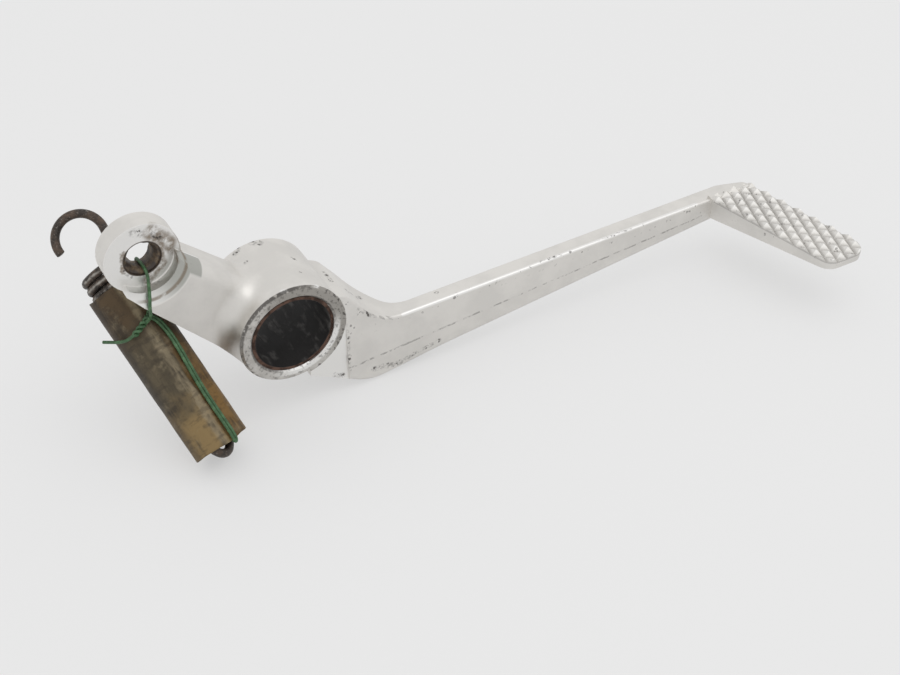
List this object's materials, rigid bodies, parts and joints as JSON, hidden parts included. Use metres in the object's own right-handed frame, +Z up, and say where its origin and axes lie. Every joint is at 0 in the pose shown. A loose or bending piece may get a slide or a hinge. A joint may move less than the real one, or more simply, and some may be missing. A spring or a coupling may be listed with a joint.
{
  "type": "brake pedal",
  "caption": "Cast foot brake pedal: bent arm with a treaded foot pad, pivot boss with a thin bush and a rod eye, with its hooked return spring in a sleeve.",
  "frame": {"origin": "middle of the pivot bore", "axes": "+X towards the foot pad, +Y inboard along the pivot bore, +Z up"},
  "size_m": [0.2159, 0.0862, 0.0674],
  "materials": {
    "cast_metal": "satin casting, faced and polished in places, with small dark pits",
    "bush": "greasy dark bronze",
    "spring_wire": "dark rust over spring steel",
    "sleeve": "greasy, stained olive and amber"
  },
  "bodies": {
    "root": {"pedal_casting": "cast_metal", "pivot_bush": "bush", "return_spring": "spring_wire", "spring_sleeve": "sleeve"}
  },
  "joints": []
}
